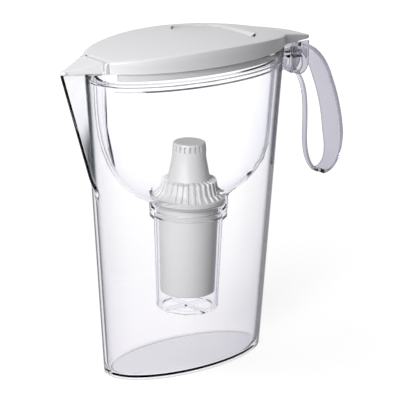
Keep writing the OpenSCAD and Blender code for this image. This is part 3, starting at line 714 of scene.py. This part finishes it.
def makeHatch():
    hinge, hingeZ, radius = lid["hingeX"], hingeHeight(), lid["barrelRadius"]
    sink = lid["hatchSink"]
    under = sink + lid["hatchThickness"]
    edgeX = hinge - radius - lid["pocketGap"]
    panel = solid("hatchPanel", slab(hatchOutline(0, edgeX), crownAt(under), crownAt(sink), 0.35))
    half = lid["barrelLength"] / 2
    webOutline = [(hinge, -half), (hinge, half), (edgeX - 1, half), (edgeX - 1, -half)]
    web = slab(webOutline, crownAt(under - 0.1), crownAt(sink + 0.1), shares=(0.5,))
    rise = hingeZ + radius
    rampX = hinge - lid["rampLength"]
    rampSide = [(hinge, rise), (hinge - 0.9, rise), (rampX, crownZ(rampX, 0) - sink - 0.2)]
    rampSide += [(rampX, hingeZ - 1), (hinge, hingeZ - 1)]
    wedge = plate(rampSide, -half, half, 0.2)
    combine(panel, [web, wedge, rod(hinge, hingeZ, radius, 2 * half, 0.4)], "UNION", 26)
    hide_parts("fill_hatch")
    return place(panel, "hatch", "lid_plastic")


# The flap over the spout; its plan narrows from its root to a round tip
flap = {"foot": 250.3, "wall": 1.8, "rise": 2.9, "fullX": -85.385, "fullHalf": 14.5, "overhang": 1.9, "tipSteps": 16}


def makeFlap():
    noseX, noseZ, radius = nose["x"], nose["z"], nose["barrelRadius"]
    tipX = -(jug["rimLength"] / 2 + jug["spoutReach"] - jug["spoutEdge"])
    rootX = noseX - radius - nose["clear"]
    topZ = noseZ + radius
    tipZ = jug["height"] + flap["rise"]
    rootHalf = (rootX - tipX) / (flap["fullX"] - tipX) * flap["fullHalf"] + flap["overhang"]
    steps = flap["tipSteps"]

    def outlineIn(inset):
        r = jug["spoutEdge"] - inset
        x = rootX - 1.5 * inset
        half = rootHalf - 1.1 * inset
        slope = acos(r / sqrt((x - tipX) ** 2 + half**2)) - atan2(x - tipX, half)
        angles = [pi / 2 - slope + (pi + 2 * slope) * i / steps for i in range(steps + 1)]
        return [(x, half)] + [(tipX + r * cos(a), r * sin(a)) for a in angles] + [(x, -half)]

    def roof(drop):
        return lambda x, y: tipZ - drop + (topZ - tipZ) * (x - tipX) / (rootX - tipX)

    wall = flap["wall"]
    cover = solid("spoutFlap", slab(outlineIn(0), flap["foot"], roof(0), 0.5))
    combine(cover, [slab(outlineIn(wall), flap["foot"] - 4.3, roof(wall))], "DIFFERENCE", 24)
    half = nose["barrelLength"] / 2
    strip = block(noseX - radius - 1.5, noseX, -half, half, topZ - wall, topZ)
    combine(cover, [strip, rod(noseX, noseZ, radius, 2 * half, 0.3)], "UNION", 24)
    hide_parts("spout_flap")
    return place(cover, "flap", "lid_plastic")


# The lid's inner skirt; its profile is pairs of inset and height
skirt = ((2.9, 244.3), (2.9, 250.2), (2.3, 250.3), (2.3, 252), (4.9, 252), (4.9, 244.3), (4.6, 244), (3.2, 244))


def makeSkirtRing():
    ring = solid("lidInnerSkirt", loft([ovalOutline(z, d) for d, z in skirt], "joined", "none"), sharp=26)
    combine(ring, [lidSlice(past["front"], nose["x"] + nose["earLength"] + 0.3)], "DIFFERENCE", 26)
    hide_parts("lid_skirt_ring")
    return place(ring, "lid", "lid_plastic")


# Shader groups that several finishes share
def makeGroup(name, inputs, outputs):
    # a group with its sockets, named like the settings that they take
    group = bpy.data.node_groups.new(name, "ShaderNodeTree")
    for way, sockets in (("INPUT", inputs), ("OUTPUT", outputs)):
        for label, kind in sockets.items():
            group.interface.new_socket(name=label, in_out=way, socket_type="NodeSocket" + kind)
    return group, group.nodes.new("NodeGroupInput").outputs, group.nodes.new("NodeGroupOutput").inputs


def node(tree, kind, values=(), **settings):
    made = tree.nodes.new("ShaderNode" + kind)
    for key, value in settings.items():
        setattr(made, key, value)
    for key, value in dict(values).items():
        made.inputs[key].default_value = value
    return made


def join(tree, *pairs):
    for source, target in pairs:
        tree.links.new(source, target)


def feed(tree, socket, value):
    # links a socket or sets a value
    if isinstance(value, bpy.types.NodeSocket):
        tree.links.new(value, socket)
    else:
        socket.default_value = value


def calc(tree, operation, *values):
    made = node(tree, "Math", operation=operation)
    for value, socket in zip(values, made.inputs):
        feed(tree, socket, value)
    return made.outputs[0]


def ramp(tree, value, values=(), **settings):
    # a range mapped to another; each end may be a socket or a value
    made = node(tree, "MapRange", **settings)
    for key, end in dict(values, Value=value).items():
        feed(tree, made.inputs[key], end)
    return made.outputs[0]


def mixColor(tree, share, first, second, blend="MIX"):
    mix = node(tree, "Mix", data_type="RGBA", blend_type=blend)
    for value, index in ((share, 0), (first, 6), (second, 7)):
        feed(tree, mix.inputs[index], value)
    return mix.outputs[2]


def pattern(tree, kind, values=(), **settings):
    # a texture laid in the object's own coordinates
    made = node(tree, kind, values, **settings)
    join(tree, (node(tree, "TexCoord").outputs["Object"], made.inputs["Vector"]))
    return made


def bumped(tree, shader, height, strength, distance, **settings):
    bump = node(tree, "Bump", {"Strength": strength, "Distance": distance}, **settings)
    join(tree, (height, bump.inputs["Height"]), (bump.outputs[0], shader["Normal"]))


def makeMouldGrain():
    # faint moulded surface: a fine grain over slow flow marks
    group, given, out = makeGroup(
        "mouldGrain", dict.fromkeys(("grainScale", "flow", "roughness", "spread"), "Float"),
        {"height": "Float", "roughness": "Float"})
    fine = pattern(group, "TexNoise", {"Detail": 3.0, "Roughness": 0.6})
    flow = pattern(group, "TexNoise", {"Scale": 38.0, "Detail": 2.0}).outputs["Fac"]
    weighted = calc(group, "MULTIPLY", flow, given["flow"])
    spread = calc(group, "MULTIPLY_ADD", calc(group, "SUBTRACT", flow, 0.5), given["spread"], given["roughness"])
    join(group,
         (given["grainScale"], fine.inputs["Scale"]),
         (calc(group, "ADD", fine.outputs["Fac"], weighted), out["height"]),
         (spread, out["roughness"]))
    return group


def makeTintAndPaintedEdges():
    # clear plastic seen flat is nearly colourless; where the eye looks along an upright wall it is darkened by
    # painted shade and a painted dark edge, which stand in for dark surroundings that the walls would reflect and
    # refract;
    # faces square to the width are deeper still, because the light has come through the whole width
    group, given, out = makeGroup(
        "tintAndPaintedEdges", {
            **dict.fromkeys(("clear", "low", "side", "rim", "across"), "Color"),
            **dict.fromkeys(("facing", "paintedEdgeStart", "paintedEdgeEnd", "lowAt", "clearAt"), "Float"), "axis": "Vector"},
        {"color": "Color"})
    white = (1, 1, 1, 1)
    ways = node(group, "SeparateXYZ")
    along = node(group, "VectorMath", operation="DOT_PRODUCT")
    join(group,
         (node(group, "NewGeometry").outputs["Normal"], ways.inputs[0]),
         (node(group, "TexCoord").outputs["Object"], along.inputs[0]),
         (given["axis"], along.inputs[1]))
    flat = calc(group, "ABSOLUTE", ways.outputs["Z"])
    cross = calc(group, "ABSOLUTE", ways.outputs["Y"])
    upright = ramp(group, flat, {"From Min": 0.35, "From Max": 0.6, "To Min": 1.0, "To Max": 0.0})
    across = ramp(group, cross, {"From Min": 0.75, "From Max": 0.95})
    rise = ramp(group, along.outputs["Value"], {
        "From Min": given["lowAt"], "From Max": given["clearAt"], "To Min": 1.0, "To Max": 0.0})
    # the painted dark edge and the painted shade below grow as a face turns from the eye
    paintedEdgeShare = ramp(group, given["facing"], {
        "From Min": given["paintedEdgeStart"], "From Max": given["paintedEdgeEnd"]}, interpolation_type="SMOOTHSTEP")
    paintedShadeShare = ramp(group, given["facing"], {"From Min": 0.18, "From Max": 1.0})
    body = mixColor(group, rise, given["clear"], given["low"])
    # side: painted shade, darker as faces turn from the eye
    side = mixColor(group, paintedShadeShare, white, given["side"])
    wide = mixColor(group, across, white, given["across"])
    plain = mixColor(group, 1.0, mixColor(group, 1.0, body, side, "MULTIPLY"), wide, "MULTIPLY")
    # the rim colour is a painted dark edge, laid on upright walls seen at a slant
    rim = calc(group, "MULTIPLY", paintedEdgeShare, upright)
    join(group, (mixColor(group, rim, plain, given["rim"]), out["color"]))
    return group


def makeEdgeWear():
    # corners rubbed a little paler, broken up by noise
    group, given, out = makeGroup(
        "edgeWear", {"color": "Color", "worn": "Color", "wear": "Float"}, {"color": "Color"})
    corner = ramp(group, node(group, "NewGeometry").outputs["Pointiness"], {"From Min": 0.51, "From Max": 0.58})
    noise = pattern(group, "TexNoise", {"Scale": 130.0, "Detail": 4.0}).outputs["Fac"]
    amount = calc(group, "MULTIPLY", calc(group, "MULTIPLY", corner, noise), given["wear"])
    join(group, (mixColor(group, amount, given["color"], given["worn"]), out["color"]))
    return group


def makeDust():
    # a thin settled film on faces that look up
    group, given, out = makeGroup(
        "dust", {"color": "Color", "dustColor": "Color", "dust": "Float"}, {"color": "Color"})
    ways = node(group, "SeparateXYZ")
    join(group, (node(group, "NewGeometry").outputs["Normal"], ways.inputs[0]))
    up = ramp(group, ways.outputs["Z"], {"From Min": 0.3, "From Max": 1.0})
    noise = pattern(group, "TexNoise", {"Scale": 60.0, "Detail": 6.0, "Roughness": 0.7}).outputs["Fac"]
    amount = calc(group, "MULTIPLY", calc(group, "MULTIPLY", up, noise), given["dust"])
    join(group, (mixColor(group, amount, given["color"], given["dustColor"]), out["color"]))
    return group


groups = {"grain": makeMouldGrain(), "rim": makeTintAndPaintedEdges(), "wear": makeEdgeWear(), "dust": makeDust()}


def newFinish(name, values):
    # a material with the constants that its shader's sockets take
    material = bpy.data.materials.new(name)
    material.use_nodes = True
    tree = material.node_tree
    tree.nodes.clear()
    shader = node(tree, "BsdfPrincipled", values)
    join(tree, (shader.outputs[0], node(tree, "OutputMaterial").inputs["Surface"]))
    return material, tree, shader.inputs


def grouped(tree, group, look):
    # a shared group with the settings that it has sockets for
    made = node(tree, "Group", node_tree=groups[group])
    for socket in made.inputs:
        if socket.name in look:
            socket.default_value = look[socket.name]
    return made


def addGrain(tree, shader, look):
    grain = grouped(tree, "grain", look).outputs
    join(tree, (grain["roughness"], shader["Roughness"]))
    bumped(tree, shader, grain["height"], look["bump"], look["bumpDepth"])


def insideFacing(facing, ior):
    # one minus the cosine that a ray has inside the plastic, for one of the given facing outside
    cosine = 1 - facing
    return 1 - sqrt(1 - (1 - cosine * cosine) / (ior * ior))


def clearFinish(name, look):
    # see-through plastic; shadow and diffuse rays pass nearly unhindered so that what is inside stays lit
    first, last, ior = look["paintedEdgeStart"], look["paintedEdgeEnd"], look["ior"]
    material, tree, shader = newFinish(name, {
        "Transmission Weight": look["transmission"], "IOR": ior, "Specular IOR Level": look["specular"]})
    # base colour from the tint group, with its painted dark edges and painted shade towards the edges
    tint = grouped(tree, "rim", look)
    facing = node(tree, "LayerWeight", {"Blend": 0.5}).outputs["Facing"]
    # a ray that leaves the plastic is less slanted inside it, so its facing is drawn out to the one outside
    drawnOut = ramp(tree, facing, {
        "From Min": insideFacing(first, ior), "From Max": insideFacing(last, ior), "To Min": first, "To Max": last,
    }, clamp=False)
    slant = node(tree, "Mix", data_type="FLOAT")
    path = node(tree, "LightPath").outputs
    dim = calc(tree, "MAXIMUM", path["Is Shadow Ray"], path["Is Diffuse Ray"])
    addGrain(tree, shader, look)
    join(tree,
         (node(tree, "NewGeometry").outputs["Backfacing"], slant.inputs[0]),
         (facing, slant.inputs[2]),
         (drawnOut, slant.inputs[3]),
         (slant.outputs[0], tint.inputs["facing"]),
         (tint.outputs[0], shader["Base Color"]),
         (ramp(tree, dim, {"To Min": 1.0, "To Max": look["shadowAlpha"]}), shader["Alpha"]))
    return material


def opaqueFinish(name, look):
    material, tree, shader = newFinish(name, {
        "Metallic": look["metallic"], "Subsurface Weight": look["subsurface"], "Subsurface Radius": (0.004,) * 3})
    dust = grouped(tree, "dust", look)
    join(tree,
         (grouped(tree, "wear", look).outputs[0], dust.inputs["color"]),
         (dust.outputs[0], shader["Base Color"]))
    addGrain(tree, shader, look)
    return material


# in these looks, rim is the colour of a painted dark edge and side that of painted shade towards the edges, standing in
# for dark surroundings seen in the walls
jugLook = {
    "clear": (0.995, 0.995, 1.0, 1), "low": (0.955, 0.945, 0.965, 1), "side": (0.62, 0.62, 0.67, 1),
    "rim": (0.02, 0.025, 0.035, 1), "paintedEdgeStart": 0.64, "paintedEdgeEnd": 0.79, "axis": (0, 0, 1), "lowAt": 0.0,
    "clearAt": 0.14, "across": (1, 1, 1, 1), "transmission": 1.0, "ior": 1.18, "specular": 0.5, "shadowAlpha": 0.05,
    "grainScale": 60.0, "flow": 1.0, "roughness": 0.02, "spread": 0.02, "bump": 0.015, "bumpDepth": 0.0004,
}
# the inner pieces, the cup and the handle have their own painted dark edge and painted shade colours
innerLook = dict(
    jugLook, low=(0.98, 0.975, 0.99, 1), side=(0.9, 0.9, 0.94, 1), rim=(0.14, 0.15, 0.19, 1), paintedEdgeStart=0.7,
    paintedEdgeEnd=0.86, ior=1.16)
cupLook = dict(innerLook, side=(0.86, 0.86, 0.9, 1), rim=(0.2, 0.21, 0.26, 1), shadowAlpha=0.02)
handleLook = dict(
    jugLook, clear=(0.86, 0.85, 0.9, 1), low=(0.5, 0.49, 0.55, 1), side=(0.86, 0.86, 0.9, 1), rim=(0.08, 0.08, 0.1, 1),
    axis=(1, 0, 0), lowAt=0.124, clearAt=0.114, across=(0.6, 0.6, 0.62, 1), ior=1.24, roughness=0.05,
    shadowAlpha=0.3, grainScale=300.0, bump=0.02, bumpDepth=0.0002)
lidLook = {
    "color": (0.70, 0.70, 0.715, 1), "worn": (0.80, 0.80, 0.81, 1), "wear": 0.6, "dustColor": (0.74, 0.735, 0.72, 1),
    "dust": 0.12, "grainScale": 1500.0, "flow": 0.5, "roughness": 0.36, "spread": 0.1, "bump": 0.08,
    "bumpDepth": 0.0002, "subsurface": 0.05, "metallic": 0.0,
}
whiteLook = dict(
    lidLook, color=(0.84, 0.84, 0.84, 1), worn=(0.88, 0.88, 0.88, 1), roughness=0.42, dust=0.05, subsurface=0.1)
sealLook = dict(lidLook, color=(0.42, 0.43, 0.45, 1), worn=(0.5, 0.5, 0.5, 1), roughness=0.55, subsurface=0.0)
steelLook = dict(
    lidLook, color=(0.62, 0.62, 0.63, 1), worn=(0.8, 0.8, 0.8, 1), roughness=0.26, spread=0.2, metallic=1.0,
    subsurface=0.0, dust=0.04)
meshLook = {
    "threads": 1400.0, "thread": (0.75, 0.75, 0.74, 1), "gap": (0.12, 0.12, 0.12, 1), "bump": 0.8,
    "bumpDepth": 0.0002, "roughness": 0.5,
}
granuleLook = {
    "size": 900.0, "dark": (0.03, 0.03, 0.03, 1), "pale": (0.55, 0.42, 0.25, 1), "paleShare": 0.62, "bump": 0.9,
    "bumpDepth": 0.0008, "roughness": 0.75,
}


def meshFinish(name, look):
    # woven screen: two crossed sets of threads, holes drawn as dark gaps
    material, tree, shader = newFinish(name, {"Roughness": look["roughness"]})
    waves = [pattern(tree, "TexWave", {"Scale": look["threads"]}, bands_direction=way) for way in ("X", "Y")]
    weave = calc(tree, "MAXIMUM", waves[0].outputs["Fac"], waves[1].outputs["Fac"])
    join(tree, (mixColor(tree, weave, look["gap"], look["thread"]), shader["Base Color"]))
    bumped(tree, shader, weave, look["bump"], look["bumpDepth"])
    return material


def granuleFinish(name, look):
    # mixed carbon and resin granules
    material, tree, shader = newFinish(name, {"Roughness": look["roughness"]})
    cells = pattern(tree, "TexVoronoi", {"Scale": look["size"]})
    parts = node(tree, "SeparateColor")
    join(tree, (cells.outputs["Color"], parts.inputs[0]))
    pick = calc(tree, "GREATER_THAN", parts.outputs[0], look["paleShare"])
    join(tree, (mixColor(tree, pick, look["dark"], look["pale"]), shader["Base Color"]))
    bumped(tree, shader, cells.outputs["Distance"], look["bump"], look["bumpDepth"], invert=True)
    return material


finishes = {
    "jug_plastic": clearFinish("jugClear", jugLook),
    "reservoir_plastic": clearFinish("reservoirClear", innerLook),
    "cup_plastic": clearFinish("cupClear", cupLook),
    "handle_plastic": clearFinish("handleSmoke", handleLook),
    "lid_plastic": opaqueFinish("lidGrey", lidLook),
    "cartridge_plastic": opaqueFinish("cartridgeWhite", whiteLook),
    "seal_rubber": opaqueFinish("sealRubber", sealLook),
    "steel": opaqueFinish("brightSteel", steelLook),
    "mesh": meshFinish("screenMesh", meshLook),
    "granules": granuleFinish("filterGranules", granuleLook),
}
print("finishes made:", len(finishes))


def place(piece, body, slot):
    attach(piece, body)
    piece.data.materials.clear()
    piece.data.materials.append(finishes[slot])
    print("piece:", piece.name, len(piece.data.polygons), "faces")
    return piece


def makeFacetSmoothing():
    # merges a CAD mesh's split corners and shades its round faces smooth
    group = bpy.data.node_groups.new("facetSmoothing", "GeometryNodeTree")
    for way in ("INPUT", "OUTPUT"):
        group.interface.new_socket(name="Geometry", in_out=way, socket_type="NodeSocketGeometry")
    start, end, merge, angle, smooth, faces, edges = [group.nodes.new(kind) for kind in (
        "NodeGroupInput", "NodeGroupOutput", "GeometryNodeMergeByDistance", "GeometryNodeInputMeshEdgeAngle",
        "FunctionNodeCompare", "GeometryNodeSetShadeSmooth", "GeometryNodeSetShadeSmooth")]
    merge.inputs["Distance"].default_value = 0.00001
    smooth.operation = "LESS_THAN"
    smooth.inputs[1].default_value = radians(32)
    faces.domain = "FACE"
    edges.domain = "EDGE"
    join(group,
         (start.outputs[0], merge.inputs[0]),
         (merge.outputs[0], faces.inputs[0]),
         (faces.outputs[0], edges.inputs[0]),
         (angle.outputs["Unsigned Angle"], smooth.inputs[0]),
         (smooth.outputs[0], edges.inputs["Shade Smooth"]),
         (edges.outputs[0], end.inputs[0]))
    return group


def dressNodes():
    # CAD nodes that stay as they are, with their finish and smooth shading
    kept = {
        "handle_screw": "steel", "screw_washer": "steel", "hatch_pin": "steel", "spout_flap_pin": "steel",
        "cartridge_seal": "seal_rubber", "upper_screen": "mesh", "lower_screen": "mesh", "filter_media": "granules",
    }
    smoothing = makeFacetSmoothing()
    for name, slot in kept.items():
        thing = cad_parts[name]
        for seat in thing.material_slots:
            seat.link = "OBJECT"
            seat.material = finishes[slot]
        thing.modifiers.new("smooth", "NODES").node_group = smoothing
    print("CAD nodes dressed:", len(kept))


makeJug()
makeHandle()
makeReservoir()
makeCup()
makeCartridge()
makeLid()
makeSkirtRing()
makeHatch()
makeFlap()
dressNodes()


# Floor, world, lamps and camera
stage = {
    "size": 12.0, "floor": (0.4, 0.4, 0.4, 1), "fibre": (0.394, 0.394, 0.394, 1), "glowNear": (0.72, 0.72, 0.72, 1),
    "glowFar": (1, 1, 1, 1), "near": 0.15, "far": 0.9, "ambient": (0.12, 0.12, 0.125, 1),
}


def seenRays(tree):
    # one for the rays that see the white surroundings: from the camera, mirrored or through clear plastic
    path = node(tree, "LightPath").outputs
    seen = calc(tree, "MAXIMUM", path["Is Camera Ray"], path["Is Transmission Ray"])
    return calc(tree, "MAXIMUM", seen, path["Is Glossy Ray"])


def makeFloor():
    half = stage["size"] / 2
    mesh = bpy.data.meshes.new("floor")
    mesh.from_pydata([(-half, -half, 0), (half, -half, 0), (half, half, 0), (-half, half, 0)], [], [(0, 1, 2, 3)])
    floor = added("floor", mesh)
    material, tree, shader = newFinish("floorPaper", {"Roughness": 0.9, "Emission Strength": 1.0})
    fibre = pattern(tree, "TexNoise", {"Scale": 220.0, "Detail": 5.0}).outputs["Fac"]
    away = node(tree, "VectorMath", operation="LENGTH")
    join(tree, (node(tree, "TexCoord").outputs["Object"], away.inputs[0]))
    spread = ramp(tree, away.outputs["Value"], {"From Min": stage["near"], "From Max": stage["far"]})
    glowThere = mixColor(tree, spread, stage["glowNear"], stage["glowFar"])
    join(tree,
         (mixColor(tree, fibre, stage["floor"], stage["fibre"]), shader["Base Color"]),
         (mixColor(tree, seenRays(tree), (0, 0, 0, 1), glowThere), shader["Emission Color"]))
    mesh.materials.append(material)


def makeWorld():
    world = bpy.data.worlds.new("studio")
    bpy.context.scene.world = world
    world.use_nodes = True
    tree = world.node_tree
    tree.nodes.clear()
    mix = node(tree, "MixShader")
    join(tree, (seenRays(tree), mix.inputs[0]), (mix.outputs[0], node(tree, "OutputWorld").inputs["Surface"]))
    for index, color in ((1, stage["ambient"]), (2, (1, 1, 1, 1))):
        join(tree, (node(tree, "Background", {"Color": color, "Strength": 1.0}).outputs[0], mix.inputs[index]))


view = {
    "azimuth": 38.31, "elevation": 17.48, "distance": 1.4964, "targetZ": 0.1322, "lens": 169.96, "shiftX": 0.038,
    "roll": 0.64,
}
lamps = {
    "key": {"left": 0.42, "near": 0.9, "up": 0.5, "size": 0.5, "power": 11.5},
    "top": {"left": 0.35, "near": -0.1, "up": 1.3, "size": 0.9, "power": 6},
}


def viewAxes():
    a, e = radians(view["azimuth"]), radians(view["elevation"])
    back = Vector((-sin(a) * cos(e), -cos(a) * cos(e), sin(e)))
    return Vector((cos(a), -sin(a), 0)), back


def makeLamps():
    right, back = viewAxes()
    target = Vector((0, 0, view["targetZ"]))
    near = Vector((back.x, back.y, 0)).normalized()
    for name, look in lamps.items():
        data = bpy.data.lights.new(name, "AREA")
        data.shape = "DISK"
        data.size = look["size"]
        data.energy = look["power"]
        lamp = added(name, data)
        spot = target - right * look["left"] + near * look["near"] + Vector((0, 0, look["up"]))
        lamp.location = spot
        lamp.rotation_euler = (target - spot).to_track_quat("-Z", "Y").to_euler()


def makeCamera():
    right, back = viewAxes()
    up = back.cross(right)
    turn = radians(view["roll"])
    data = bpy.data.cameras.new("camera")
    data.lens = view["lens"]
    data.sensor_width = 36
    data.shift_x = view["shiftX"]
    camera = added("camera", data)
    tilted = right * cos(turn) + up * sin(turn)
    rotation = Matrix((tilted, back.cross(tilted), back)).transposed().to_4x4()
    camera.matrix_world = Matrix.Translation(Vector((0, 0, view["targetZ"])) + back * view["distance"]) @ rotation
    bpy.context.scene.camera = camera


makeFloor()
makeWorld()
makeLamps()
makeCamera()
scene = bpy.context.scene
scene.view_settings.view_transform = "Standard"
scene.cycles.caustics_reflective = False
scene.cycles.caustics_refractive = False
scene.cycles.max_bounces = 32
scene.cycles.transmission_bounces = 32
scene.cycles.transparent_max_bounces = 32
print("stage set")
